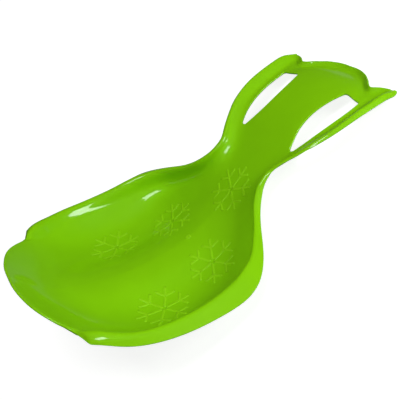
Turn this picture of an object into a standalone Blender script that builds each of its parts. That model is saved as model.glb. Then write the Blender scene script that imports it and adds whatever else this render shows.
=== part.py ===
# Snow slider: a one-piece moulded plastic seat pan with a neck and a gripping plate.
# The form is a loft through cross-sections, rear lip first, one half mirrored to the other.
# Lengths below are millimetres in the moulding's own frame: X to the side, Y towards the
# grips, Z the mould's opening direction, Y = 0 and Z = 0 at the two rear corners of the rim.
import math

import bmesh
import bpy
import numpy as np

MM = 0.001
WALL = 3.0
# The slider rests on the two lobes of the pan, tilted until the grip end almost touches down.
REST_TILT = math.radians(12.8)
LOBE_DEPTH = 151.4
MIDDLE_ALONG = 262.35
# Row spacing of the skin: start, end, number of strips.
ROW_RUNS = ((0, 12, 6), (12, 60, 6), (60, 240, 16), (240, 340, 10), (340, 505, 13), (505, 548, 8))
PAN_STRIPS = 17
RIM_CROWDING = 0.3
SKIRT_STRIPS = 6
SLOT_CORNER = 5.0
SLOT_CUT_LOW = -80.0
SLOT_CUT_HIGH = 50.0
FLOOR_BLOCK = (0.8, 1.0, 0.1)
# How far the rim rolls over, in radians below level, before the flange runs on straight.
FLANGE_BEND = 0.7
SHORTEST_STRAIGHT = 2.0
# The cross-section gives way to the roll here, in roll radii inside the rim, and passes through
# the shoulder point, so far inside the rim and below it.
SECTION_END = 0.75
SECTION_GAP = 0.03
SHOULDER_IN = 0.64
SHOULDER_DROP = 0.26
# The flange points this far forwards at the rear corners, and follows the rim from there on.
REAR_TURN = 0.1
REAR_SETTLE = 24.0
# At the rear corners the lip runs on into a flatter flange, and the roll starts within this
# distance.
REAR_BEND = 0.32
REAR_START = 0.28
ROLL_SETTLE = 14.0
# How strongly the loft is faired along its length, and the part of it that is.
FAIRING = 400.0
FAIRED = (20, 400)
HELD = 100.0
SHARES = np.linspace(0, 1, 41)
COLOUR = (0.20, 0.56, 0.006, 1.0)

# Rim: place along Y, half width, height.
RIM = (
    (0, 124.4, 0), (4, 130, 0.5), (10, 136.5, 1), (24, 149, -2), (45, 163.3, -14), (70, 173.5, -26),
    (100, 178, -37.5), (130, 179, -46.5), (160, 178, -53), (185, 175.5, -56), (200, 172.5, -57.2),
    (220, 164.5, -58.5), (243, 149, -60), (258, 132, -59), (275, 111, -57.5), (290, 92, -52),
    (304, 79, -46), (319, 70, -40), (333, 67, -35), (349, 69.5, -30), (364, 79, -24), (380, 90, -19),
    (400, 101, -12.5), (425, 111, -7.5), (450, 116.5, -4.5), (480, 118.8, -3.3), (505, 119.8, -4),
    (530, 119, -7.5), (548, 116.8, -15),
)
# Flange outside the rim: place along Y, width.
FLANGE = (
    (0, 14), (2, 18.6), (4, 20), (7, 19.2), (10, 17.8), (16, 15.8), (24, 15.3), (45, 16), (70, 17.5),
    (100, 19.8), (130, 21.8), (160, 24.5), (185, 27.5), (200, 27.8), (220, 24.3), (243, 16.1),
    (258, 13), (275, 9.7), (290, 10), (304, 10.3), (319, 9.3), (333, 7.5), (349, 5.3), (364, 4.2),
    (380, 4), (400, 5.5), (425, 6.6), (450, 7.5), (480, 8.7), (505, 9.6), (530, 10), (548, 6),
)
# Radius of the roll from the pan's wall into the flange: place along Y, radius.
ROLL = ((0, 16), (24, 18), (45, 12), (70, 8.5), (100, 7), (300, 6), (420, 4.5), (530, 5), (548, 3.5))
# Cross-sections: rim place, then share of the half width, place along Y, height.
SECTIONS = (
    (0, ((0, -33.3, 45), (0.2, -32.8, 44.2), (0.4, -29.8, 40), (0.6, -23.8, 33),
         (0.8, -13.2, 19.6), (0.92, -5, 8.2), (1, 0, 0))),
    (12, ((0, -18.5, 10), (0.2, -17.5, 8), (0.4, -12.5, 4), (0.6, -5.5, -1),
          (0.8, 4, -6.5), (0.92, 9, -4.5), (1, 12, 1))),
    (30, ((0, 5, -19), (0.2, 6, -21), (0.4, 10, -27), (0.6, 17, -30),
          (0.8, 25, -28), (0.92, 29, -17), (1, 30, -5.5))),
    (50, ((0, 35, -44), (0.2, 36, -47), (0.4, 39, -55), (0.6, 43, -58),
          (0.8, 48, -48), (0.92, 50, -32), (1, 50, -17))),
    (75, ((0, 68, -63), (0.2, 69, -67), (0.4, 71, -77.5), (0.5, 72, -79.5), (0.6, 73, -78.5),
          (0.8, 75, -65), (0.92, 75, -45), (1, 75, -28))),
    (100, ((0, 98, -75.5), (0.2, 98, -80), (0.4, 99, -91), (0.5, 100, -92.6), (0.6, 100, -91),
           (0.8, 100, -77), (0.92, 100, -56), (1, 100, -37.5))),
    (130, ((0, 130, -84.5), (0.2, 130, -89), (0.4, 130, -99.5), (0.5, 130, -101), (0.6, 130, -100),
           (0.8, 130, -88), (0.92, 130, -67), (1, 130, -46.5))),
    (165, ((0, 165, -92.5), (0.2, 165, -96), (0.4, 165, -105), (0.5, 165, -106.5), (0.6, 165, -106),
           (0.8, 165, -95), (0.92, 165, -75), (1, 165, -53.8))),
    (200, ((0, 200, -95), (0.2, 200, -98.5), (0.4, 200, -105), (0.55, 200, -107), (0.7, 200, -103.5),
           (0.8, 200, -97), (0.92, 200, -79), (1, 200, -57.2))),
    (230, ((0, 230, -92), (0.2, 230, -94.5), (0.4, 230, -98.5), (0.55, 230, -100), (0.7, 230, -98),
           (0.8, 230, -94), (0.92, 230, -79), (1, 230, -59.3))),
    (258, ((0, 258, -86), (0.2, 258, -87), (0.4, 258, -89.5), (0.6, 258, -90.5),
           (0.8, 258, -86), (0.92, 258, -74), (1, 258, -59))),
    (290, ((0, 290, -75.5), (0.2, 290, -75.5), (0.4, 290, -76), (0.6, 290, -76),
           (0.8, 290, -71.5), (0.92, 290, -62), (1, 290, -52))),
    (319, ((0, 319, -64), (0.2, 319, -64), (0.4, 319, -63.5), (0.6, 319, -62),
           (0.8, 319, -56), (0.92, 319, -47.5), (1, 319, -40))),
    (349, ((0, 349, -49.5), (0.2, 349, -49.5), (0.4, 349, -49.5), (0.6, 349, -48.5),
           (0.8, 349, -44), (0.92, 349, -37), (1, 349, -30))),
    (380, ((0, 380, -35), (0.2, 380, -35), (0.4, 380, -35), (0.6, 380, -34.5),
           (0.8, 380, -31), (0.92, 380, -25), (1, 380, -19))),
    (410, ((0, 410, -22.5), (0.2, 410, -22.5), (0.4, 410, -22.5), (0.6, 410, -22.7),
           (0.8, 410, -21.5), (0.92, 410, -15.5), (1, 410, -10.3))),
    (440, ((0, 440, -14.3), (0.2, 440, -14.3), (0.4, 440, -14.5), (0.6, 440, -15.8),
           (0.76, 440, -17.2), (0.87, 440, -16), (0.94, 440, -10), (1, 440, -5.8))),
    (475, ((0, 475, -11), (0.2, 475, -11), (0.4, 475, -11.2), (0.6, 475, -12.8),
           (0.76, 475, -14.8), (0.87, 475, -14.5), (0.94, 475, -8), (1, 475, -3.4))),
    (505, ((0, 510, -12.7), (0.2, 510, -12.8), (0.5, 510, -13.7), (0.65, 507.2, -14.8),
           (0.76, 504, -16.1), (0.87, 502.6, -15.5), (0.94, 503.5, -8.4), (1, 505, -4))),
    (530, ((0, 543, -18.5), (0.2, 542, -18.3), (0.4, 537, -17.5), (0.55, 529, -17),
           (0.708, 522, -16.8), (0.8, 524, -17), (0.88, 526, -16), (0.95, 529, -11), (1, 530, -7.5))),
    (542, ((0, 560, -24.5), (0.17, 559.5, -24), (0.32, 554.5, -22), (0.464, 546, -20),
           (0.59, 536, -18), (0.708, 530, -16.5), (0.8, 533.5, -17.5), (0.9, 539, -17),
           (1, 542, -12.5))),
    (548, ((0, 567.5, -20), (0.17, 567, -19.8), (0.32, 562, -18.2), (0.405, 557.6, -17),
           (0.464, 553, -16), (0.535, 547.6, -14.5), (0.59, 542.2, -13.3), (0.666, 537, -12.3),
           (0.708, 536.2, -12), (0.78, 541, -13), (0.88, 546.8, -15.3), (1, 550, -17))),
)
# Grip slots: the two long sides as place along Y, distance from the middle.
SLOT_INNER = (
    (388, 61), (404.6, 54.5), (418.5, 50.2), (433, 47.9), (449, 47.3), (465.6, 48.4),
    (484, 51.3), (503.5, 56.4), (511, 59),
)
SLOT_OUTER = ((388, 68), (405.7, 77), (420, 82), (434.7, 85.9), (450.4, 88.9), (466.9, 91),
              (484.6, 91.9), (503, 91.2))


def spline(knots, values, at):
    """Values of the smoothest curve through the knots, column by column."""
    k = np.asarray(knots, float)
    v = np.asarray(values, float).reshape(len(k), -1)
    gap = np.diff(k)
    slope = np.diff(v, axis=0) / gap[:, None]
    system = np.eye(len(k))
    right = np.zeros_like(v)
    for i in range(1, len(k) - 1):
        system[i, i - 1:i + 2] = gap[i - 1], 2 * (gap[i - 1] + gap[i]), gap[i]
        right[i] = 6 * (slope[i] - slope[i - 1])
    bend = np.linalg.solve(system, right)
    at = np.asarray(at, float)
    i = np.clip(np.searchsorted(k, at) - 1, 0, len(gap) - 1)
    a = (at - k[i])[:, None]
    h = gap[i][:, None]
    return (v[i] + a * (slope[i] - h * (2 * bend[i] + bend[i + 1]) / 6)
            + a * a * bend[i] / 2 + a ** 3 * (bend[i + 1] - bend[i]) / (6 * h))


def column(table, which):
    return [row[which] for row in table]


def smooth_step(value):
    value = np.clip(value, 0, 1)
    return value * value * (3 - 2 * value)


def faired(knots, values):
    """Values at the knots with small unevenness taken out of the middle of the loft."""
    k = np.asarray(knots, float)
    gap = np.diff(k)
    inner = len(k) - 2
    second = np.zeros((len(k), inner))
    band = np.zeros((inner, inner))
    for i in range(inner):
        second[i:i + 3, i] = 1 / gap[i], -1 / gap[i] - 1 / gap[i + 1], 1 / gap[i + 1]
        band[i, i] = (gap[i] + gap[i + 1]) / 3
        if i + 1 < inner:
            band[i, i + 1] = band[i + 1, i] = gap[i + 1] / 6
    roughness = second @ np.linalg.solve(band, second.T)
    hold = np.where((k > FAIRED[0]) & (k < FAIRED[1]), 1.0, HELD)
    return np.linalg.solve(np.diag(hold) + FAIRING * roughness, hold[:, None] * values)


def section_rows(places):
    """Cross-section at each place: place along Y and height at each share of the half width."""
    keys = column(SECTIONS, 0)
    table = [spline(column(s[1], 0), [p[1:] for p in s[1]], SHARES) for s in SECTIONS]
    rows = faired(keys, np.reshape(table, (len(keys), -1)))
    return spline(keys, rows, places).reshape(len(places), -1, 2)


def flange_headings(places):
    """Level direction in which the flange leaves the rim at each place."""
    ahead = spline(column(RIM, 0), column(RIM, 1), places + 0.5)[:, 0]
    behind = spline(column(RIM, 0), column(RIM, 1), places - 0.5)[:, 0]
    settled = smooth_step(places / REAR_SETTLE)
    angle = REAR_TURN * (1 - settled) - np.arctan(ahead - behind) * settled
    return np.stack([np.cos(angle), np.sin(angle)], 1)


def roll_and_flange(place, roll, start, wide):
    """Outward and upward steps from the rim: round the roll, then straight to the edge."""
    bend = REAR_BEND + (FLANGE_BEND - REAR_BEND) * smooth_step(place / REAR_SETTLE)
    end = min(bend, start + wide / roll)
    angles = np.linspace(start, end, 4)
    steps = np.column_stack([np.sin(angles) - math.sin(start), np.cos(angles) - math.cos(start)]) * roll
    straight = wide - (end - start) * roll
    if straight > SHORTEST_STRAIGHT:
        run = np.array([math.cos(end), -math.sin(end)]) * straight
        steps = np.vstack([steps, steps[3] + run / 2, steps[3] + run])
    return steps


def section_path(place, rim, flange, section):
    """Points across the half skin, from the middle to the flange's edge, and the crest's index."""
    (width, height), (wide, roll, heading) = rim, flange
    keep = SHARES < 1 - SECTION_END * roll / width - SECTION_GAP
    settled = smooth_step(place / ROLL_SETTLE)
    share = 1 - SHOULDER_IN * roll / width
    along = np.interp(share, SHARES, section[:, 0])
    own = np.interp(share, SHARES, section[:, 1])
    shoulder = (share * width, along, own * (1 - settled) + (height - SHOULDER_DROP * roll) * settled)
    inner = np.vstack([np.column_stack([SHARES[keep] * width, section[keep]]), shoulder])
    steps = roll_and_flange(place, roll, REAR_START * (1 - settled), wide)
    over = np.column_stack([heading[0] * steps[:, 0], heading[1] * steps[:, 0], steps[:, 1]])
    return np.vstack([inner, over + (width, section[-1, 0], height)]), len(inner)


def surface(places, pan_shares, turn_shares):
    """Grid of the upper skin, from the middle over the rim to the flange's edge."""
    places = np.asarray(places, float)
    rims = spline(column(RIM, 0), [r[1:] for r in RIM], places)
    wide = spline(column(FLANGE, 0), column(FLANGE, 1), places)[:, 0]
    rolls = np.interp(places, column(ROLL, 0), column(ROLL, 1))
    headings = flange_headings(places)
    rows = section_rows(places)
    grid = []
    for i, place in enumerate(places):
        path, crest = section_path(place, rims[i], (wide[i], rolls[i], headings[i]), rows[i])
        along = np.concatenate([[0], np.cumsum(np.linalg.norm(np.diff(path, axis=0), axis=1))])
        at = np.concatenate([np.asarray(pan_shares) * along[crest],
                             along[crest] + np.asarray(turn_shares)[1:] * (along[-1] - along[crest])])
        grid.append(spline(along, path, at))
    return np.array(grid)


def row_places():
    """Places of the rows, closer together at both ends."""
    runs = [np.linspace(start, end, count, endpoint=False) for start, end, count in ROW_RUNS]
    return np.append(np.concatenate(runs), ROW_RUNS[-1][1])


def new_object(name, mesh, collection, holder=None):
    obj = bpy.data.objects.new(name, mesh)
    obj.parent = holder
    collection.objects.link(obj)
    return obj


def mould_frame(collection):
    """Empty that carries the moulding's own frame, tilted and raised into the resting pose."""
    holder = new_object("mould_frame", None, collection)
    holder.location = (0.0, -MIDDLE_ALONG * MM, LOBE_DEPTH * MM)
    holder.rotation_euler = (-REST_TILT, 0.0, 0.0)
    return holder


def half_skin(collection, holder):
    """Right half of the upper skin, open at the middle plane."""
    pan = np.linspace(0, 1, PAN_STRIPS + 1)
    pan = (1 - RIM_CROWDING) * pan + RIM_CROWDING * (1 - (1 - pan) ** 2)
    grid = surface(row_places(), pan, np.linspace(0, 1, SKIRT_STRIPS + 1)) * MM
    rows, columns = grid.shape[:2]
    grid[:, 0, 0] = 0.0
    faces = []
    for i in range(rows - 1):
        for j in range(columns - 1):
            a = i * columns + j
            faces.append((a, a + 1, a + columns + 1, a + columns))
    mesh = bpy.data.meshes.new("slider_shell")
    mesh.from_pydata([tuple(point) for point in grid.reshape(-1, 3)], [], faces)
    return new_object("slider_shell", mesh, collection, holder)


def rounded(outline, radius):
    """Outline with each sharp corner replaced by a small arc."""
    points = []
    count = len(outline)
    for i, corner in enumerate(outline):
        back = outline[i - 1] - corner
        ahead = outline[(i + 1) % count] - corner
        shortest = min(np.linalg.norm(back), np.linalg.norm(ahead))
        back /= np.linalg.norm(back)
        ahead /= np.linalg.norm(ahead)
        if back @ ahead < -0.9:
            points.append(corner)
            continue
        cut = min(radius, 0.45 * shortest)
        for t in np.linspace(0, 1, 5):
            points.append(corner + back * cut * (1 - t) ** 2 + ahead * cut * t * t)
    return np.array(points)


def slot_outline():
    """Outline of the right grip slot with its corners rounded."""
    low, high = SLOT_INNER[0][0], SLOT_INNER[-1][0]
    along_inner = np.linspace(low, high, 13)
    along_outer = np.linspace(low, SLOT_OUTER[-1][0], 11)
    inner = spline(column(SLOT_INNER, 0), column(SLOT_INNER, 1), along_inner)[:, 0]
    outer = spline(column(SLOT_OUTER, 0), column(SLOT_OUTER, 1), along_outer)[:, 0]
    first = np.column_stack([inner, along_inner])
    second = np.column_stack([outer, along_outer])
    return rounded(np.vstack([second, first[::-1]]), SLOT_CORNER)


def slot_cutter(name, side, collection, holder):
    """Upright block with the outline of one grip slot."""
    curve = bpy.data.curves.new(name, "CURVE")
    curve.dimensions = "2D"
    curve.fill_mode = "BOTH"
    curve.extrude = (SLOT_CUT_HIGH - SLOT_CUT_LOW) / 2 * MM
    outline = slot_outline() * MM
    line = curve.splines.new("POLY")
    line.points.add(len(outline) - 1)
    line.use_cyclic_u = True
    for point, (x, y) in zip(line.points, outline):
        point.co = (side * x, y, 0.0, 1.0)
    drawn = new_object(name + "_outline", curve, collection, holder)
    drawn.location = (0.0, 0.0, (SLOT_CUT_HIGH + SLOT_CUT_LOW) / 2 * MM)
    bpy.context.view_layer.update()
    mesh = bpy.data.meshes.new_from_object(drawn)
    block = bmesh.new()
    block.from_mesh(mesh)
    bmesh.ops.remove_doubles(block, verts=block.verts, dist=1e-6)
    bmesh.ops.recalc_face_normals(block, faces=block.faces)
    block.to_mesh(mesh)
    block.free()
    cutter = new_object(name, mesh, collection)
    cutter.matrix_world = drawn.matrix_world
    bpy.data.objects.remove(drawn, do_unlink=True)
    return cutter


def floor_cutter(collection):
    """Block below the floor that leaves a small flat under each lobe."""
    block = bmesh.new()
    bmesh.ops.create_cube(block, size=1.0)
    mesh = bpy.data.meshes.new("rest_flat_cutter")
    block.to_mesh(mesh)
    block.free()
    cutter = new_object("rest_flat_cutter", mesh, collection)
    cutter.scale = FLOOR_BLOCK
    cutter.location = (0.0, 0.0, -FLOOR_BLOCK[2] / 2)
    return cutter


def plastic():
    material = bpy.data.materials.new("lime_plastic")
    material.use_nodes = True
    shader = material.node_tree.nodes["Principled BSDF"]
    shader.inputs["Base Color"].default_value = COLOUR
    shader.inputs["Roughness"].default_value = 0.22
    shader.inputs["IOR"].default_value = 1.5
    material.diffuse_color = COLOUR
    return material


def cut(obj, cutter):
    modifier = obj.modifiers.new(cutter.name, "BOOLEAN")
    modifier.operation = "DIFFERENCE"
    modifier.solver = "EXACT"
    modifier.object = cutter


def new_collection(name):
    collection = bpy.data.collections.new(name)
    bpy.context.scene.collection.children.link(collection)
    return collection


def main():
    for obj in list(bpy.data.objects):
        bpy.data.objects.remove(obj, do_unlink=True)
    slider = new_collection("snow_slider")
    cutters = new_collection("cutters")
    holder = mould_frame(slider)
    shell = half_skin(slider, holder)
    shell.data.materials.append(plastic())
    mirror = shell.modifiers.new("halves", "MIRROR")
    mirror.use_clip = True
    mirror.merge_threshold = 0.0001
    wall = shell.modifiers.new("wall", "SOLIDIFY")
    wall.thickness = WALL * MM
    wall.offset = -1.0
    made = [slot_cutter("slot_cutter_right", 1, cutters, holder),
            slot_cutter("slot_cutter_left", -1, cutters, holder), floor_cutter(cutters)]
    for cutter in made:
        cutter.hide_render = True
        cutter.display_type = "WIRE"
        cut(shell, cutter)
    for polygon in shell.data.polygons:
        polygon.use_smooth = True


main()
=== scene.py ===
import math

import bpy
import numpy as np
from mathutils import Matrix, Vector
from mathutils.bvhtree import BVHTree

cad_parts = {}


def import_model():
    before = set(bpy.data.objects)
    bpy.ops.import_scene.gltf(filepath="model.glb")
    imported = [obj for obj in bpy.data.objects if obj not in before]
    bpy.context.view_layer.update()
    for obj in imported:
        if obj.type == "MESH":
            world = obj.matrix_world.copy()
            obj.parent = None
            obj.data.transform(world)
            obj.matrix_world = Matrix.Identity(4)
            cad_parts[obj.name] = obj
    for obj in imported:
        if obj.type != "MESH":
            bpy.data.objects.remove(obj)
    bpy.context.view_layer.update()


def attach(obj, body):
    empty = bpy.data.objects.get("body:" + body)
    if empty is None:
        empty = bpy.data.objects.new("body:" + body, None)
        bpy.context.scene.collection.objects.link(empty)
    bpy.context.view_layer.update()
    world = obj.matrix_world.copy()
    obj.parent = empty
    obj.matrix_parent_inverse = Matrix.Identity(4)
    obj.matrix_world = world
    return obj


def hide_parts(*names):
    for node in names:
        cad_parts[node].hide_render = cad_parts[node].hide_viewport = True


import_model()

MM = 0.001
WALL = 3.0
# The slider rests on the two lobes of the pan: its tilt, the height of the rim's rear corners over
# the floor, and the middle of its length, which comes over the origin.
REST_TILT = math.radians(12.8)
LOBE_DEPTH = 151.4
MIDDLE_ALONG = 262.35
# How far the rim rolls over, in radians below level, before the flange runs on straight.
FLANGE_BEND = 0.7
SHORTEST_STRAIGHT = 2.0
# Round the pan's front corners the flange leans less, by so much within this reach of the place.
CORNER_EASE = 0.15
CORNER_PLACE = 214.0
CORNER_REACH = 65.0
# The cross-section gives way to the roll here, in roll radii inside the rim, and passes through
# the shoulder point, so far inside the rim and below it.
SECTION_END = 0.75
SECTION_GAP = 0.03
SHOULDER_IN = 0.64
SHOULDER_DROP = 0.26
# The flange points this far forwards at the rear corners, and follows the rim from there on.
REAR_TURN = 0.1
REAR_SETTLE = 24.0
# At the rear corners the flange leans by so much and its roll starts so far over. The roll comes
# to start level within this distance.
REAR_BEND = 0.25
REAR_START = 0.45
ROLL_SETTLE = 14.0
# How strongly the loft is faired along its length, the part of it that is, and how firmly the
# rest is held.
FAIRING = 1500.0
FAIRED = (20, 515)
HELD = 100.0
SHARES = np.linspace(0, 1, 41)
# The flange's direction is measured over twice this step along the rim.
HEADING_STEP = 0.5
# Points round the roll of the rim.
ROLL_POINTS = 4
# Grip slots: first and last place along Y, and the radius of their corners.
SLOT_START = 388.0
SLOT_END = 505.0
SLOT_CORNER = 2.6
# Rounding of the shell's edge, and its steps from the upper to the lower side.
EDGE_ROUND = 0.8
ARC_STEPS = 6
# The wall's direction is averaged so many times within this reach of each rear corner.
SOFT_ROUNDS = 60
SOFT_REACH = 12.0
# Row spacing of the skin: start, end, number of strips.
ROW_RUNS = ((0, 6, 5), (6, 60, 26), (60, 300, 76), (300, 384, 30), (384, 388, 3), (388, 392, 3),
            (392, 501, 38), (501, 505, 3), (505, 510, 4), (510, 536, 13), (536, 548, 9))
# Strips across the half skin: to the slot, over it, on to the crest and down to the edge.
INNER_STRIPS = 26
SLOT_STRIPS = 14
OUTER_STRIPS = 30
SKIRT_STRIPS = 22
# How strongly the strips crowd towards the crest.
CREST_CROWDING = 0.45
# The slot's strips, as shares of the half width: where the search for them starts, how many rounds
# it takes, and where they lie in the pan, up to the place from which they move over to the slot.
SLOT_GUESS = (0.45, 0.75)
SLOT_ROUNDS = 4
PAN_SHARES = (0.5, 0.72)
PAN_END = 250.0
# Places so close together count as one.
TINY = 1e-6
# Camera, in the moulding's frame: place, right and up, how far it sees in metres, focal length and
# picture width in pixels, and sensor width in millimetres.
CAMERA_PLACE = (708.9, 100.4, 504.6)
CAMERA_RIGHT = (0.4767, 0.7833, -0.3991)
CAMERA_UP = (-0.4120, 0.6001, 0.6856)
CAMERA_REACH = 50.0
FOCAL = 598.0
PICTURE = 400.0
SENSOR = 36.0
# Lamps, which face this point: name, azimuth and elevation in degrees, distance and size in
# metres, power, and whether the plastic mirrors them.
LIT_POINT = (0.0, 0.0, 0.05)
LAMPS = (
    ("key", 40.0, 22.0, 1.6, (0.5, 0.52), 15.0, True),
    ("top", 0.0, 72.0, 1.4, (0.55, 0.34), 9.0, True),
    ("fill", 60.0, 70.0, 1.8, (1.0, 1.0), 6.0, False),
)
# The dim level of the surroundings, and the sines of the two elevations between which their
# mirrored white from below the horizon gives way to it.
DIM = 0.02
WHITE_BELOW = (-0.6, -0.2)
# Floor: size in metres, colour and roughness, and how much of the light on it shows beside its
# own glow.
FLOOR_SIZE = 4.4
FLOOR_COLOUR = (0.75, 0.75, 0.75)
FLOOR_ROUGHNESS = 0.9
FLOOR_SHADE = 0.36
# The floor's glow as the camera and the plastic see it: near and far distance in metres from the
# middle of the object, and the level at each.
SEEN_GLOW = (0.45, 1.1, 0.87, 1.0)
MIRRORED_GLOW = (0.2, 0.7, 0.4, 0.04)
# Plastics: dark and light colour, roughness limits, strength of the grain, and the weight and
# roughness of the gloss over them.
LIME = ((0.196, 0.515, 0.0015), (0.213, 0.55, 0.002), (0.42, 0.5), 0.15, (0.55, 0.06))
# The satin plastic of the snowflakes and the gate mark has a rougher, weaker gloss, which is its
# finish. Its colours are lighter than the lime's as painted sheen, standing in for the light that
# the raised lines catch.
SATIN_PAINTED_SHEEN = ((0.23, 0.56, 0.004), (0.245, 0.59, 0.005), (0.5, 0.6), 0.3, (0.15, 0.3))
PLASTIC_IOR = 1.5
SPECULAR = 0.05
# Scale and detail of the clouds in the colour, of the uneven gloss and of the grain, the depth of
# the grain in metres, and the span of grey values that counts.
CLOUDS = (14.0, 3.0)
SHEEN = (60.0, 4.0)
GRAIN = (900.0, 2.0)
GRAIN_DEPTH = 0.0001
GREY_SPAN = (0.3, 0.7)
# Sockets of the mixing node, for colours and for values.
FACTOR = 0
COLOUR_IN = (6, 7)
COLOUR_OUT = 2
VALUE_IN = (2, 3)
VALUE_OUT = 0
# Snowflakes: centres in plan, radius, and the width and profile of the raised lines.
FLAKE_CENTRES = ((91.3, 106.4), (-91.3, 106.4), (67.7, 204.0), (-67.7, 204.0), (0.0, 299.4))
FLAKE_RADIUS = 39.5
FLAKE_LINE = 4.1
FLAKE_PROFILE = ((-1.0, -0.6), (-0.85, 0.22), (-0.45, 0.36), (0.0, 0.4), (0.45, 0.36),
                 (0.85, 0.22), (1.0, -0.6))
# Each arm starts a little off the centre and forks at a share of the radius. The prongs have the
# rest. Points on a line are so far apart, and dropped onto the skin from this height.
FORK_SHARE = 0.6
PRONG_SHARE = 0.4
HUB_SHARE = 0.12
STROKE_STEP = 2.0
FEWEST_POINTS = 3
DROP_HEIGHT = 200.0
# Moulding mark: centre in plan, and radius and height of its rings.
GATE_CENTRE = (0.0, 202.6)
GATE_SIDES = 32
GATE_RINGS = ((4.8, -0.6), (4.7, 0.15), (4.1, 0.5), (3.4, 0.65), (2.7, 0.5), (2.0, 0.1),
              (0.8, 0.05))

# Rim: place along Y, half width, height.
RIM = (
    (0, 124.4, 0), (4, 130, 0.5), (10, 136.5, 1), (24, 149, -2), (45, 163.3, -14),
    (70, 173.5, -26), (100, 178, -37.5), (130, 179, -46.5), (160, 178, -53), (185, 175.5, -56),
    (200, 172.5, -57.2), (220, 164.5, -58.5), (243, 149, -60), (258, 132, -59),
    (275, 111, -57.5), (290, 92, -52), (304, 79, -46), (319, 70, -40), (333, 67, -35),
    (349, 69.5, -30), (364, 79, -24), (380, 90, -19), (400, 101, -12.5), (425, 111, -7.5),
    (450, 116.5, -4.5), (480, 118.8, -3.3), (505, 119.8, -4), (530, 119, -7.5),
    (548, 116, -16.8),
)
# Flange outside the rim: place along Y, width.
FLANGE = (
    (0, 4), (2, 7.2), (4, 10), (7, 13), (10, 14.6), (16, 15.4), (24, 15.3), (45, 16), (70, 17.5),
    (100, 19.8), (130, 21.8), (160, 24.2), (185, 27), (200, 27.5), (220, 24.3), (243, 16.1),
    (258, 13), (275, 9.7), (290, 10), (304, 10.3), (319, 9.3), (333, 7.5), (349, 5.3), (364, 4.2),
    (380, 4), (400, 5.5), (425, 6.6), (450, 7.5), (480, 8.7), (505, 9.6), (530, 10.2), (538, 9.7),
    (543, 8.2), (546, 6), (548, 3.6),
)
# Radius of the roll from the pan's wall into the flange: place along Y, radius.
ROLL = ((0, 16), (24, 18), (45, 12), (70, 8.5), (100, 7), (300, 6), (420, 4.5), (530, 5),
        (548, 3.5))
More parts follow.
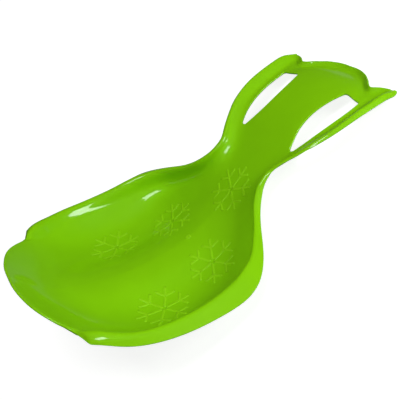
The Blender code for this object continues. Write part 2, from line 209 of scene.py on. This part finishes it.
# Cross-sections: rim place, then share of the half width, place along Y, height.
SECTIONS = (
    (0, ((0, -33.3, 45), (0.2, -32.8, 44.2), (0.4, -29.8, 40), (0.6, -23.8, 33),
         (0.8, -13.2, 19.6), (0.92, -5, 8.2), (1, 0, 0))),
    (12, ((0, -18.5, 10), (0.2, -17.5, 8), (0.4, -12.5, 4), (0.6, -5.5, -1),
          (0.8, 4, -6.5), (0.92, 9, -4.5), (1, 12, 1))),
    (30, ((0, 5, -19), (0.2, 6, -21), (0.4, 10, -27), (0.6, 17, -30),
          (0.8, 25, -28), (0.92, 29, -17), (1, 30, -5.5))),
    (50, ((0, 35, -44), (0.2, 36, -47), (0.4, 39, -55), (0.6, 43, -58),
          (0.8, 48, -48), (0.92, 50, -31), (1, 50, -17))),
    (75, ((0, 68, -63), (0.2, 69, -67), (0.4, 71, -77.5), (0.5, 72, -79.5), (0.6, 73, -78.5),
          (0.8, 75, -64), (0.92, 75, -42), (1, 75, -28))),
    (100, ((0, 98, -75.5), (0.2, 98, -80), (0.4, 99, -91), (0.5, 100, -92.6), (0.6, 100, -91),
           (0.8, 100, -76), (0.92, 100, -52), (1, 100, -37.5))),
    (130, ((0, 130, -84.5), (0.2, 130, -89), (0.4, 130, -99.5), (0.5, 130, -101), (0.6, 130, -100),
           (0.8, 130, -87), (0.92, 130, -64), (1, 130, -46.5))),
    (165, ((0, 165, -92.5), (0.2, 165, -96), (0.4, 165, -105), (0.5, 165, -106.5),
           (0.6, 165, -106), (0.8, 165, -95), (0.92, 165, -75), (1, 165, -53.8))),
    (200, ((0, 200, -95), (0.2, 200, -98.5), (0.4, 200, -105), (0.55, 200, -107),
           (0.7, 200, -103.5), (0.8, 200, -97), (0.92, 200, -79), (1, 200, -57.2))),
    (230, ((0, 230, -92), (0.2, 230, -94.5), (0.4, 230, -98.5), (0.55, 230, -100), (0.7, 230, -98),
           (0.8, 230, -97), (0.92, 230, -85), (1, 230, -59.3))),
    (258, ((0, 258, -86), (0.2, 258, -87), (0.4, 258, -89.5), (0.6, 258, -90.5),
           (0.8, 258, -90), (0.92, 258, -81.5), (1, 258, -59))),
    (290, ((0, 290, -75.5), (0.2, 290, -75.5), (0.4, 290, -76), (0.6, 290, -76),
           (0.8, 290, -75.5), (0.92, 290, -69), (1, 290, -52))),
    (319, ((0, 319, -64), (0.2, 319, -64), (0.4, 319, -63.5), (0.6, 319, -62),
           (0.8, 319, -56), (0.92, 319, -47.5), (1, 319, -40))),
    (349, ((0, 349, -49.5), (0.2, 349, -49.5), (0.4, 349, -49.5), (0.6, 349, -48.5),
           (0.8, 349, -44), (0.92, 349, -37), (1, 349, -30))),
    (380, ((0, 380, -35), (0.2, 380, -35), (0.4, 380, -35), (0.6, 380, -34.5),
           (0.8, 380, -31), (0.92, 380, -25), (1, 380, -19))),
    (410, ((0, 410, -22.5), (0.2, 410, -22.5), (0.4, 410, -22.5), (0.6, 410, -22.7),
           (0.8, 410, -21.5), (0.92, 410, -15.5), (1, 410, -10.3))),
    (440, ((0, 440, -14.3), (0.2, 440, -14.3), (0.4, 440, -14.5), (0.6, 440, -15.8),
           (0.76, 440, -17.2), (0.87, 440, -16), (0.94, 440, -10), (1, 440, -5.8))),
    (475, ((0, 475, -11), (0.2, 475, -11), (0.4, 475, -11.2), (0.6, 475, -12.8),
           (0.76, 475, -14.8), (0.87, 475, -14.5), (0.94, 475, -8), (1, 475, -3.4))),
    (505, ((0, 510, -12.7), (0.2, 510, -12.8), (0.5, 510, -13.7), (0.65, 507.2, -14.8),
           (0.76, 504, -16.1), (0.87, 502.6, -15.5), (0.94, 503.5, -8.4), (1, 505, -4))),
    (530, ((0, 543, -18.5), (0.2, 542, -18.3), (0.4, 537, -17.5), (0.55, 529, -17),
           (0.708, 522, -16.8), (0.8, 524, -17), (0.88, 526, -16), (0.95, 529, -11),
           (1, 530, -7.5))),
    (542, ((0, 560, -24.5), (0.17, 559.5, -24), (0.32, 554.5, -22), (0.464, 546, -20),
           (0.59, 536, -18), (0.708, 530, -16.5), (0.8, 533.5, -17.5), (0.9, 539, -17),
           (1, 542, -12.5))),
    (548, ((0, 567.5, -20), (0.17, 567, -19.8), (0.32, 562, -18.2), (0.405, 557.6, -17),
           (0.464, 553, -16), (0.535, 547.6, -14.5), (0.59, 542.2, -13.3), (0.666, 537, -12.3),
           (0.708, 536.2, -12), (0.78, 541, -13), (0.88, 546.8, -15.3), (1, 550, -17))),
)
# Grip slots: the two long sides as place along Y, distance from the middle.
SLOT_INNER = (
    (388, 61), (404.6, 54.5), (418.5, 50.2), (433, 47.9), (449, 47.3), (465.6, 48.4),
    (484, 51.3), (503.5, 56.4), (511, 59),
)
SLOT_OUTER = ((388, 68), (405.7, 77), (420, 82), (434.7, 85.9), (450.4, 88.9), (466.9, 91),
              (484.6, 91.9), (503, 91.2))


def spline(knots, values, at):
    """Values of the smoothest curve through the knots, column by column."""
    k = np.asarray(knots, float)
    v = np.asarray(values, float).reshape(len(k), -1)
    gap = np.diff(k)
    slope = np.diff(v, axis=0) / gap[:, None]
    system = np.eye(len(k))
    right = np.zeros_like(v)
    for i in range(1, len(k) - 1):
        system[i, i - 1:i + 2] = gap[i - 1], 2 * (gap[i - 1] + gap[i]), gap[i]
        right[i] = 6 * (slope[i] - slope[i - 1])
    bend = np.linalg.solve(system, right)
    at = np.asarray(at, float)
    i = np.clip(np.searchsorted(k, at) - 1, 0, len(gap) - 1)
    a = (at - k[i])[:, None]
    h = gap[i][:, None]
    return (v[i] + a * (slope[i] - h * (2 * bend[i] + bend[i + 1]) / 6)
            + a * a * bend[i] / 2 + a ** 3 * (bend[i + 1] - bend[i]) / (6 * h))


def column(table, which):
    """One column of a table."""
    return [row[which] for row in table]


def smooth_step(value):
    """Soft change from 0 to 1 while the value goes from 0 to 1."""
    value = np.clip(value, 0, 1)
    return value * value * (3 - 2 * value)


def faired(knots, values):
    """Values at the knots with small unevenness taken out of the middle of the loft."""
    k = np.asarray(knots, float)
    gap = np.diff(k)
    inner = len(k) - 2
    second = np.zeros((len(k), inner))
    band = np.zeros((inner, inner))
    for i in range(inner):
        second[i:i + 3, i] = 1 / gap[i], -1 / gap[i] - 1 / gap[i + 1], 1 / gap[i + 1]
        band[i, i] = (gap[i] + gap[i + 1]) / 3
        if i + 1 < inner:
            band[i, i + 1] = band[i + 1, i] = gap[i + 1] / 6
    roughness = second @ np.linalg.solve(band, second.T)
    hold = np.where((k > FAIRED[0]) & (k < FAIRED[1]), 1.0, HELD)
    return np.linalg.solve(np.diag(hold) + FAIRING * roughness, hold[:, None] * values)


def section_rows(places):
    """Cross-section at each place: place along Y and height at each share of the half width."""
    keys = column(SECTIONS, 0)
    table = [spline(column(s[1], 0), [p[1:] for p in s[1]], SHARES) for s in SECTIONS]
    rows = faired(keys, np.reshape(table, (len(keys), -1)))
    return spline(keys, rows, places).reshape(len(places), -1, 2)


def flange_headings(places):
    """Level direction in which the flange leaves the rim at each place."""
    ahead = spline(column(RIM, 0), column(RIM, 1), places + HEADING_STEP)[:, 0]
    behind = spline(column(RIM, 0), column(RIM, 1), places - HEADING_STEP)[:, 0]
    settled = smooth_step(places / REAR_SETTLE)
    slope = (ahead - behind) / (2 * HEADING_STEP)
    angle = REAR_TURN * (1 - settled) - np.arctan(slope) * settled
    return np.stack([np.cos(angle), np.sin(angle)], 1)


def roll_and_flange(place, roll, start, wide):
    """Outward and upward steps from the rim: round the roll, then straight to the edge."""
    bend = REAR_BEND + (FLANGE_BEND - REAR_BEND) * smooth_step(place / REAR_SETTLE)
    bend -= CORNER_EASE * smooth_step(1 - abs(place - CORNER_PLACE) / CORNER_REACH)
    end = start + wide / roll
    if (end - bend) * roll > SHORTEST_STRAIGHT:
        end = bend
    angles = np.linspace(start, end, ROLL_POINTS)
    out = np.sin(angles) - math.sin(start)
    up = np.cos(angles) - math.cos(start)
    steps = np.column_stack([out, up]) * roll
    straight = wide - (end - start) * roll
    if straight > SHORTEST_STRAIGHT:
        run = np.array([math.cos(end), -math.sin(end)]) * straight
        steps = np.vstack([steps, steps[-1] + run / 2, steps[-1] + run])
    return steps


def section_path(place, rim, flange, section):
    """Points across the half skin, from the middle to the flange's edge, and the crest's index."""
    (width, height), (wide, roll, heading) = rim, flange
    keep = SHARES < 1 - SECTION_END * roll / width - SECTION_GAP
    settled = smooth_step(place / ROLL_SETTLE)
    share = 1 - SHOULDER_IN * roll / width
    along = np.interp(share, SHARES, section[:, 0])
    own = np.interp(share, SHARES, section[:, 1])
    level = own * (1 - settled) + (height - SHOULDER_DROP * roll) * settled
    inner = np.vstack([np.column_stack([SHARES[keep] * width, section[keep]]),
                       (share * width, along, level)])
    steps = roll_and_flange(place, roll, REAR_START * (1 - settled), wide)
    over = np.column_stack([heading[0] * steps[:, 0], heading[1] * steps[:, 0], steps[:, 1]])
    return np.vstack([inner, over + (width, section[-1, 0], height)]), len(inner)


def slot_span(along, end_gap):
    """Inner and outer edge of the grip slot where it is at the place along Y."""
    inner = spline(column(SLOT_INNER, 0), column(SLOT_INNER, 1), along)[:, 0]
    outer = spline(column(SLOT_OUTER, 0), column(SLOT_OUTER, 1), along)[:, 0]
    near = np.clip(SLOT_CORNER - end_gap, 0, SLOT_CORNER)
    inset = SLOT_CORNER - np.sqrt(SLOT_CORNER ** 2 - near ** 2)
    return inner + inset, outer - inset


def column_shares(place, width, share_to_along):
    """Shares of the half width at which the columns lie, with two of them on the slot's edges."""
    held = min(max(place, SLOT_START), SLOT_END)
    share = np.array(SLOT_GUESS)
    gap = min(held - SLOT_START, SLOT_END - held)
    for _ in range(SLOT_ROUNDS):
        along = share_to_along(share) if held == place else np.array([held, held])
        inner, outer = slot_span(along, np.array([gap, gap]))
        share = np.array([inner[0], outer[1]]) / width
    ease = smooth_step((place - PAN_END) / (SLOT_START - PAN_END))
    low, high = np.array(PAN_SHARES) * (1 - ease) + share * ease
    outer_part = np.linspace(0, 1, OUTER_STRIPS + 1)
    outer_part = (1 - CREST_CROWDING) * outer_part + CREST_CROWDING * (1 - (1 - outer_part) ** 2)
    return np.concatenate([np.linspace(0, low, INNER_STRIPS, endpoint=False),
                           np.linspace(low, high, SLOT_STRIPS, endpoint=False),
                           high + (1 - high) * outer_part])


def surface(places):
    """Grid of the upper skin, from the middle over the rim to the flange's edge."""
    turn_shares = np.linspace(0, 1, SKIRT_STRIPS + 1)[1:]
    rims = spline(column(RIM, 0), [r[1:] for r in RIM], places)
    wide = spline(column(FLANGE, 0), column(FLANGE, 1), places)[:, 0]
    rolls = np.interp(places, column(ROLL, 0), column(ROLL, 1))
    headings = flange_headings(places)
    slot_places = np.clip(places, SLOT_START, SLOT_END)
    slot_widths = spline(column(RIM, 0), column(RIM, 1), slot_places)[:, 0]
    rows = section_rows(places)
    grid = []
    for i, place in enumerate(places):
        path, crest = section_path(place, rims[i], (wide[i], rolls[i], headings[i]), rows[i])
        along = np.concatenate([[0], np.cumsum(np.linalg.norm(np.diff(path, axis=0), axis=1))])
        columns = column_shares(place, slot_widths[i],
                                lambda s: np.interp(s, SHARES, rows[i, :, 0]))
        inner = np.interp(columns * rims[i, 0], path[:crest + 1, 0], along[:crest + 1])
        outer = along[crest] + turn_shares * (along[-1] - along[crest])
        grid.append(spline(along, path, np.concatenate([inner, outer])))
    return np.array(grid)


def placed(points):
    """Moulding frame in millimetres to the resting pose in metres."""
    turn = np.array(Matrix.Rotation(-REST_TILT, 3, "X"))
    return (np.asarray(points) @ turn.T + (0.0, -MIDDLE_ALONG, LOBE_DEPTH)) * MM


def row_places():
    """Places of the rows, closer together at the ends and at the slots."""
    runs = [np.linspace(start, end, count, endpoint=False) for start, end, count in ROW_RUNS]
    return np.append(np.concatenate(runs), ROW_RUNS[-1][1])


def new_object(name, points, faces):
    """Smooth-shaded object with the given points and faces."""
    mesh = bpy.data.meshes.new(name)
    mesh.from_pydata([tuple(p) for p in points], [], faces)
    mesh.update()
    for polygon in mesh.polygons:
        polygon.use_smooth = True
    obj = bpy.data.objects.new(name, mesh)
    bpy.context.scene.collection.objects.link(obj)
    return obj


def skin():
    """Whole upper skin with both slots open: points and four-sided faces."""
    places = row_places()
    half = surface(places)
    half[:, 0, 0] = 0.0
    full = np.concatenate([half[:, :0:-1] * (-1, 1, 1), half], axis=1)
    rows, columns = full.shape[:2]
    middle = (columns - 1) // 2
    side = np.abs(np.arange(columns - 1) + 0.5 - middle)
    in_slot = (side > INNER_STRIPS) & (side < INNER_STRIPS + SLOT_STRIPS)
    faces = []
    for i in range(rows - 1):
        open_row = SLOT_START <= places[i] < SLOT_END - TINY
        for j in range(columns - 1):
            if open_row and in_slot[j]:
                continue
            a = i * columns + j
            faces.append((a, a + 1, a + columns + 1, a + columns))
    points = full.reshape(-1, 3)
    used = np.unique(np.array(faces))
    index = np.full(len(points), -1)
    index[used] = np.arange(len(used))
    return points[used], index[np.array(faces)]


def corner_normals(points, faces):
    """Smooth unit normals of the skin's points."""
    a, b, c, d = (points[faces[:, k]] for k in range(4))
    face = np.cross(c - a, d - b)
    total = np.zeros_like(points)
    for k in range(4):
        np.add.at(total, faces[:, k], face)
    return total / np.linalg.norm(total, axis=1)[:, None]


def softened(normals, points, faces):
    """Normals averaged over their neighbours near the rear corners, where the rows lie close."""
    corners = placed([(side * RIM[0][1], RIM[0][0], RIM[0][2]) for side in (-1, 1)]) / MM
    away = np.min([np.linalg.norm(points - corner, axis=1) for corner in corners], axis=0)
    share = smooth_step(2 - away / SOFT_REACH)
    near = faces[share[faces].max(axis=1) > 0]
    soft = normals
    for _ in range(SOFT_ROUNDS):
        total = soft.copy()
        for k in range(4):
            np.add.at(total, near[:, k], soft[near[:, (k + 1) % 4]] + soft[near[:, k - 1]])
        soft = total / np.linalg.norm(total, axis=1)[:, None]
    mixed = normals + (soft - normals) * share[:, None]
    return mixed / np.linalg.norm(mixed, axis=1)[:, None]


def border(faces):
    """Directed border edges of the skin, each with the face it belongs to."""
    edges = {}
    for f, face in enumerate(faces):
        for k in range(4):
            a, b = int(face[k]), int(face[(k + 1) % 4])
            if edges.pop((b, a), None) is None:
                edges[(a, b)] = f
    return edges


def edge_insets(points, faces, edges, outward):
    """How far the edge's rounding reaches inwards: less where the border faces are narrow."""
    inset = np.full(len(points), EDGE_ROUND)
    for (a, b), f in edges.items():
        for inner in (v for v in faces[f] if v not in (a, b)):
            for v in (a, b):
                depth = (points[v] - points[inner]) @ outward[v]
                inset[v] = min(inset[v], max(depth, 0.0) / 2)
    return inset


def shell(points, faces):
    """Closed shell: skin, underside and a rounded edge all along the border."""
    normals = softened(corner_normals(points, faces), points, faces)
    edges = border(faces)
    outward = np.zeros_like(points)
    for (a, b) in edges:
        along = points[b] - points[a]
        across = np.cross(along, normals[a] + normals[b])
        across /= np.linalg.norm(across)
        outward[a] += across
        outward[b] += across
    rim = np.linalg.norm(outward, axis=1) > 0
    outward[rim] /= np.linalg.norm(outward[rim], axis=1)[:, None]
    inset = edge_insets(points, faces, edges, outward)
    top = points - inset[:, None] * outward
    count = len(points)
    everything = [top, top - WALL * normals]
    start = {}
    rim_points = np.nonzero(rim)[0]
    arc = []
    for n, v in enumerate(rim_points):
        start[int(v)] = 2 * count + n * (ARC_STEPS - 1)
        for k in range(1, ARC_STEPS):
            angle = math.pi * k / ARC_STEPS
            arc.append(top[v] - normals[v] * WALL / 2 * (1 - math.cos(angle))
                       + outward[v] * inset[v] * math.sin(angle))
    everything.append(np.array(arc))
    quads = [tuple(f) for f in faces]
    quads += [tuple(f[::-1] + count) for f in faces]
    for (a, b) in edges:
        left = [a] + [start[a] + k for k in range(ARC_STEPS - 1)] + [a + count]
        right = [b] + [start[b] + k for k in range(ARC_STEPS - 1)] + [b + count]
        for k in range(ARC_STEPS):
            quads.append((left[k], left[k + 1], right[k + 1], right[k]))
    return np.vstack(everything), quads


def flake_lines():
    """Middle lines of a snowflake's strokes: six arms, each with a fork of three prongs."""
    lines = []
    for k in range(6):
        arm = math.pi / 2 + k * math.pi / 3
        fork = FORK_SHARE * FLAKE_RADIUS * np.array([math.cos(arm), math.sin(arm)])
        lines.append((HUB_SHARE * fork, fork))
        for turn in (arm - math.pi / 3, arm, arm + math.pi / 3):
            prong = PRONG_SHARE * FLAKE_RADIUS * np.array([math.cos(turn), math.sin(turn)])
            lines.append((fork, fork + prong))
    return lines


def on_skin(x, y, height, tree):
    """Point so far above the skin, over a place in plan."""
    hit, normal = tree.ray_cast(Vector((x, y, DROP_HEIGHT)), Vector((0.0, 0.0, -1.0)))[:2]
    return tuple(hit + normal * height)


def stroke(start, end, tree):
    """One raised line that follows the skin, rounded across and closed underneath."""
    length = np.linalg.norm(end - start)
    along = (end - start) / length
    across = np.array([-along[1], along[0]]) * FLAKE_LINE / 2
    count = max(FEWEST_POINTS, int(round(length / STROKE_STEP)) + 1)
    wide = len(FLAKE_PROFILE)
    points = []
    for t in np.linspace(0, 1, count):
        for offset, height in FLAKE_PROFILE:
            x, y = start + along * length * t + across * offset
            points.append(on_skin(x, y, height, tree))
    faces = []
    for i in range(count - 1):
        for j in range(wide):
            a, b = i * wide + j, i * wide + (j + 1) % wide
            faces.append((a, b, b + wide, a + wide))
    faces.append(tuple(range(wide))[::-1])
    faces.append(tuple(range((count - 1) * wide, count * wide)))
    return points, faces


def flake(name, centre, tree):
    """One raised snowflake round its centre in plan."""
    points, faces = [], []
    for start, end in flake_lines():
        more, quads = stroke(start + centre, end + centre, tree)
        faces += [tuple(v + len(points) for v in quad) for quad in quads]
        points += more
    return new_object(name, placed(points), faces)


def gate_mark(tree):
    """Small round button where the plastic entered the mould."""
    x, y = GATE_CENTRE
    points, faces = [], []
    for radius, height in GATE_RINGS:
        points += [on_skin(x + radius * math.cos(turn), y + radius * math.sin(turn), height, tree)
                   for turn in np.linspace(0, 2 * math.pi, GATE_SIDES, endpoint=False)]
    for ring in range(len(GATE_RINGS) - 1):
        for k in range(GATE_SIDES):
            a, b = ring * GATE_SIDES + k, ring * GATE_SIDES + (k + 1) % GATE_SIDES
            faces.append((a, b, b + GATE_SIDES, a + GATE_SIDES))
    faces.append(tuple(range(GATE_SIDES))[::-1])
    faces.append(tuple(range(len(points) - GATE_SIDES, len(points))))
    return new_object("gate_mark", placed(points), faces)


def camera():
    """Camera at the photograph's angle, given in the moulding's frame."""
    data = bpy.data.cameras.new("camera")
    data.sensor_width = SENSOR
    data.lens = FOCAL / PICTURE * SENSOR
    data.clip_end = CAMERA_REACH
    obj = bpy.data.objects.new("camera", data)
    bpy.context.scene.collection.objects.link(obj)
    turn = Matrix.Rotation(-REST_TILT, 3, "X")
    right = turn @ Vector(CAMERA_RIGHT)
    up = turn @ Vector(CAMERA_UP)
    back = right.cross(up).normalized()
    up = back.cross(right).normalized()
    right.normalize()
    matrix = Matrix((right, up, back)).transposed().to_4x4()
    matrix.translation = placed([CAMERA_PLACE])[0]
    obj.matrix_world = matrix
    bpy.context.scene.camera = obj


def area_light(name, azimuth, elevation, distance, size, power, mirrored):
    """Soft rectangular lamp in the given direction, facing the middle of the object."""
    data = bpy.data.lights.new(name, "AREA")
    data.shape = "RECTANGLE"
    data.size, data.size_y = size
    data.energy = power
    obj = bpy.data.objects.new(name, data)
    bpy.context.scene.collection.objects.link(obj)
    turn, rise = math.radians(azimuth), math.radians(elevation)
    level = math.cos(rise)
    direction = Vector((level * math.cos(turn), level * math.sin(turn), math.sin(rise)))
    obj.location = Vector(LIT_POINT) + direction * distance
    obj.rotation_euler = (-direction).to_track_quat("-Z", "Y").to_euler()
    obj.visible_glossy = mirrored


def noise(tree, scale, detail):
    """Noise in the moulding's own space, as a grey value."""
    place = tree.nodes.new("ShaderNodeTexCoord")
    texture = tree.nodes.new("ShaderNodeTexNoise")
    texture.inputs["Scale"].default_value = scale
    texture.inputs["Detail"].default_value = detail
    tree.links.new(place.outputs["Object"], texture.inputs["Vector"])
    return texture.outputs["Fac"]


def ranged(tree, value, low, high):
    """The grey value brought between two limits."""
    span = tree.nodes.new("ShaderNodeMapRange")
    span.inputs["From Min"].default_value = GREY_SPAN[0]
    span.inputs["From Max"].default_value = GREY_SPAN[1]
    span.inputs["To Min"].default_value = low
    span.inputs["To Max"].default_value = high
    tree.links.new(value, span.inputs["Value"])
    return span.outputs["Result"]


def plastic(name, dark, light, roughness, grain, gloss):
    """Moulded plastic: clouded colour, uneven gloss and a fine grain in its surface."""
    material = bpy.data.materials.new(name)
    material.use_nodes = True
    tree = material.node_tree
    shader = tree.nodes["Principled BSDF"]
    shader.inputs["IOR"].default_value = PLASTIC_IOR
    shader.inputs["Specular IOR Level"].default_value = SPECULAR
    shader.inputs["Coat Weight"].default_value = gloss[0]
    shader.inputs["Coat Roughness"].default_value = gloss[1]
    colour = tree.nodes.new("ShaderNodeMix")
    colour.data_type = "RGBA"
    for socket, shade in zip(COLOUR_IN, (dark, light)):
        colour.inputs[socket].default_value = (*shade, 1.0)
    tree.links.new(ranged(tree, noise(tree, *CLOUDS), 0.0, 1.0), colour.inputs[FACTOR])
    tree.links.new(colour.outputs[COLOUR_OUT], shader.inputs["Base Color"])
    tree.links.new(ranged(tree, noise(tree, *SHEEN), *roughness), shader.inputs["Roughness"])
    bump = tree.nodes.new("ShaderNodeBump")
    bump.inputs["Strength"].default_value = grain
    bump.inputs["Distance"].default_value = GRAIN_DEPTH
    tree.links.new(noise(tree, *GRAIN), bump.inputs["Height"])
    tree.links.new(bump.outputs["Normal"], shader.inputs["Normal"])
    return material


def ray_kinds(tree):
    """1 for rays of the camera or through clear things, and 1 for mirror rays."""
    path = tree.nodes.new("ShaderNodeLightPath")
    direct = tree.nodes.new("ShaderNodeMath")
    direct.operation = "MAXIMUM"
    tree.links.new(path.outputs["Is Camera Ray"], direct.inputs[0])
    tree.links.new(path.outputs["Is Transmission Ray"], direct.inputs[1])
    return direct.outputs[0], path.outputs["Is Glossy Ray"]


def distant_glow(tree, levels):
    """Light of its own that the floor shows, changing with the distance from the object."""
    place = tree.nodes.new("ShaderNodeTexCoord")
    distance = tree.nodes.new("ShaderNodeVectorMath")
    distance.operation = "LENGTH"
    tree.links.new(place.outputs["Object"], distance.inputs[0])
    fade = tree.nodes.new("ShaderNodeMapRange")
    fade.interpolation_type = "SMOOTHSTEP"
    for socket, value in zip(("From Min", "From Max", "To Min", "To Max"), levels):
        fade.inputs[socket].default_value = value
    tree.links.new(distance.outputs["Value"], fade.inputs["Value"])
    glow = tree.nodes.new("ShaderNodeEmission")
    tree.links.new(fade.outputs["Result"], glow.inputs["Strength"])
    return glow.outputs[0]


def floor():
    """White studio floor that keeps a soft shadow."""
    bpy.ops.mesh.primitive_plane_add(size=FLOOR_SIZE)
    obj = bpy.context.object
    obj.name = "studio_floor"
    material = bpy.data.materials.new("studio_floor")
    material.use_nodes = True
    tree = material.node_tree
    lit = tree.nodes["Principled BSDF"]
    lit.inputs["Base Color"].default_value = (*FLOOR_COLOUR, 1.0)
    lit.inputs["Roughness"].default_value = FLOOR_ROUGHNESS
    lit.inputs["Specular IOR Level"].default_value = 0.0
    shade = tree.nodes.new("ShaderNodeBsdfDiffuse")
    shade.inputs["Color"].default_value = (FLOOR_SHADE, FLOOR_SHADE, FLOOR_SHADE, 1.0)
    white = tree.nodes.new("ShaderNodeAddShader")
    tree.links.new(shade.outputs[0], white.inputs[0])
    tree.links.new(distant_glow(tree, SEEN_GLOW), white.inputs[1])
    result = lit.outputs[0]
    seen = (white.outputs[0], distant_glow(tree, MIRRORED_GLOW))
    for ray, shader in zip(ray_kinds(tree), seen):
        mix = tree.nodes.new("ShaderNodeMixShader")
        tree.links.new(ray, mix.inputs[0])
        tree.links.new(result, mix.inputs[1])
        tree.links.new(shader, mix.inputs[2])
        result = mix.outputs[0]
    tree.links.new(result, tree.nodes["Material Output"].inputs["Surface"])
    obj.data.materials.append(material)


def world():
    """Dim surroundings: white to the camera all round, and to mirror rays from far below."""
    scene_world = bpy.data.worlds.new("studio")
    bpy.context.scene.world = scene_world
    scene_world.use_nodes = True
    tree = scene_world.node_tree
    background = tree.nodes["Background"]
    background.inputs["Color"].default_value = (1.0, 1.0, 1.0, 1.0)
    place = tree.nodes.new("ShaderNodeTexCoord")
    split = tree.nodes.new("ShaderNodeSeparateXYZ")
    tree.links.new(place.outputs["Generated"], split.inputs[0])
    fade = tree.nodes.new("ShaderNodeMapRange")
    fade.interpolation_type = "SMOOTHSTEP"
    for socket, value in (("From Min", WHITE_BELOW[0]), ("From Max", WHITE_BELOW[1]),
                          ("To Min", 1.0), ("To Max", DIM)):
        fade.inputs[socket].default_value = value
    tree.links.new(split.outputs["Z"], fade.inputs["Value"])
    direct, mirror = ray_kinds(tree)
    strength = DIM
    for ray, level in ((mirror, fade.outputs["Result"]), (direct, 1.0)):
        choose = tree.nodes.new("ShaderNodeMix")
        tree.links.new(ray, choose.inputs[FACTOR])
        for socket, value in zip(VALUE_IN, (strength, level)):
            if isinstance(value, float):
                choose.inputs[socket].default_value = value
            else:
                tree.links.new(value, choose.inputs[socket])
        strength = choose.outputs[VALUE_OUT]
    tree.links.new(strength, background.inputs["Strength"])


bpy.context.scene.view_settings.view_transform = "Standard"
camera()
world()
floor()
for lamp in LAMPS:
    area_light(*lamp)
skin_points, skin_faces = skin()
body = new_object("shell", *shell(placed(skin_points) / MM, skin_faces))
body.data.transform(Matrix.Scale(MM, 4))
# Each lobe stands on a small flat at its lowest point.
for vertex in body.data.vertices:
    vertex.co.z = max(vertex.co.z, 0.0)
body.data.materials.append(plastic("lime_plastic", *LIME))
skin_tree = BVHTree.FromPolygons([Vector(p) for p in skin_points],
                                 [tuple(map(int, f)) for f in skin_faces])
relief = [flake("snowflake_%d" % (number + 1), np.array(centre), skin_tree)
          for number, centre in enumerate(FLAKE_CENTRES)]
relief.append(gate_mark(skin_tree))
# Lighter copy of the lime plastic for the raised pieces: the lighter colour is painted sheen, the
# rougher gloss is the finish.
satin_painted_sheen = plastic("lime_plastic_satin_painted_sheen", *SATIN_PAINTED_SHEEN)
for piece in relief:
    piece.data.materials.append(satin_painted_sheen)
for piece in [body] + relief:
    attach(piece, "root")
    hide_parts("slider_shell")
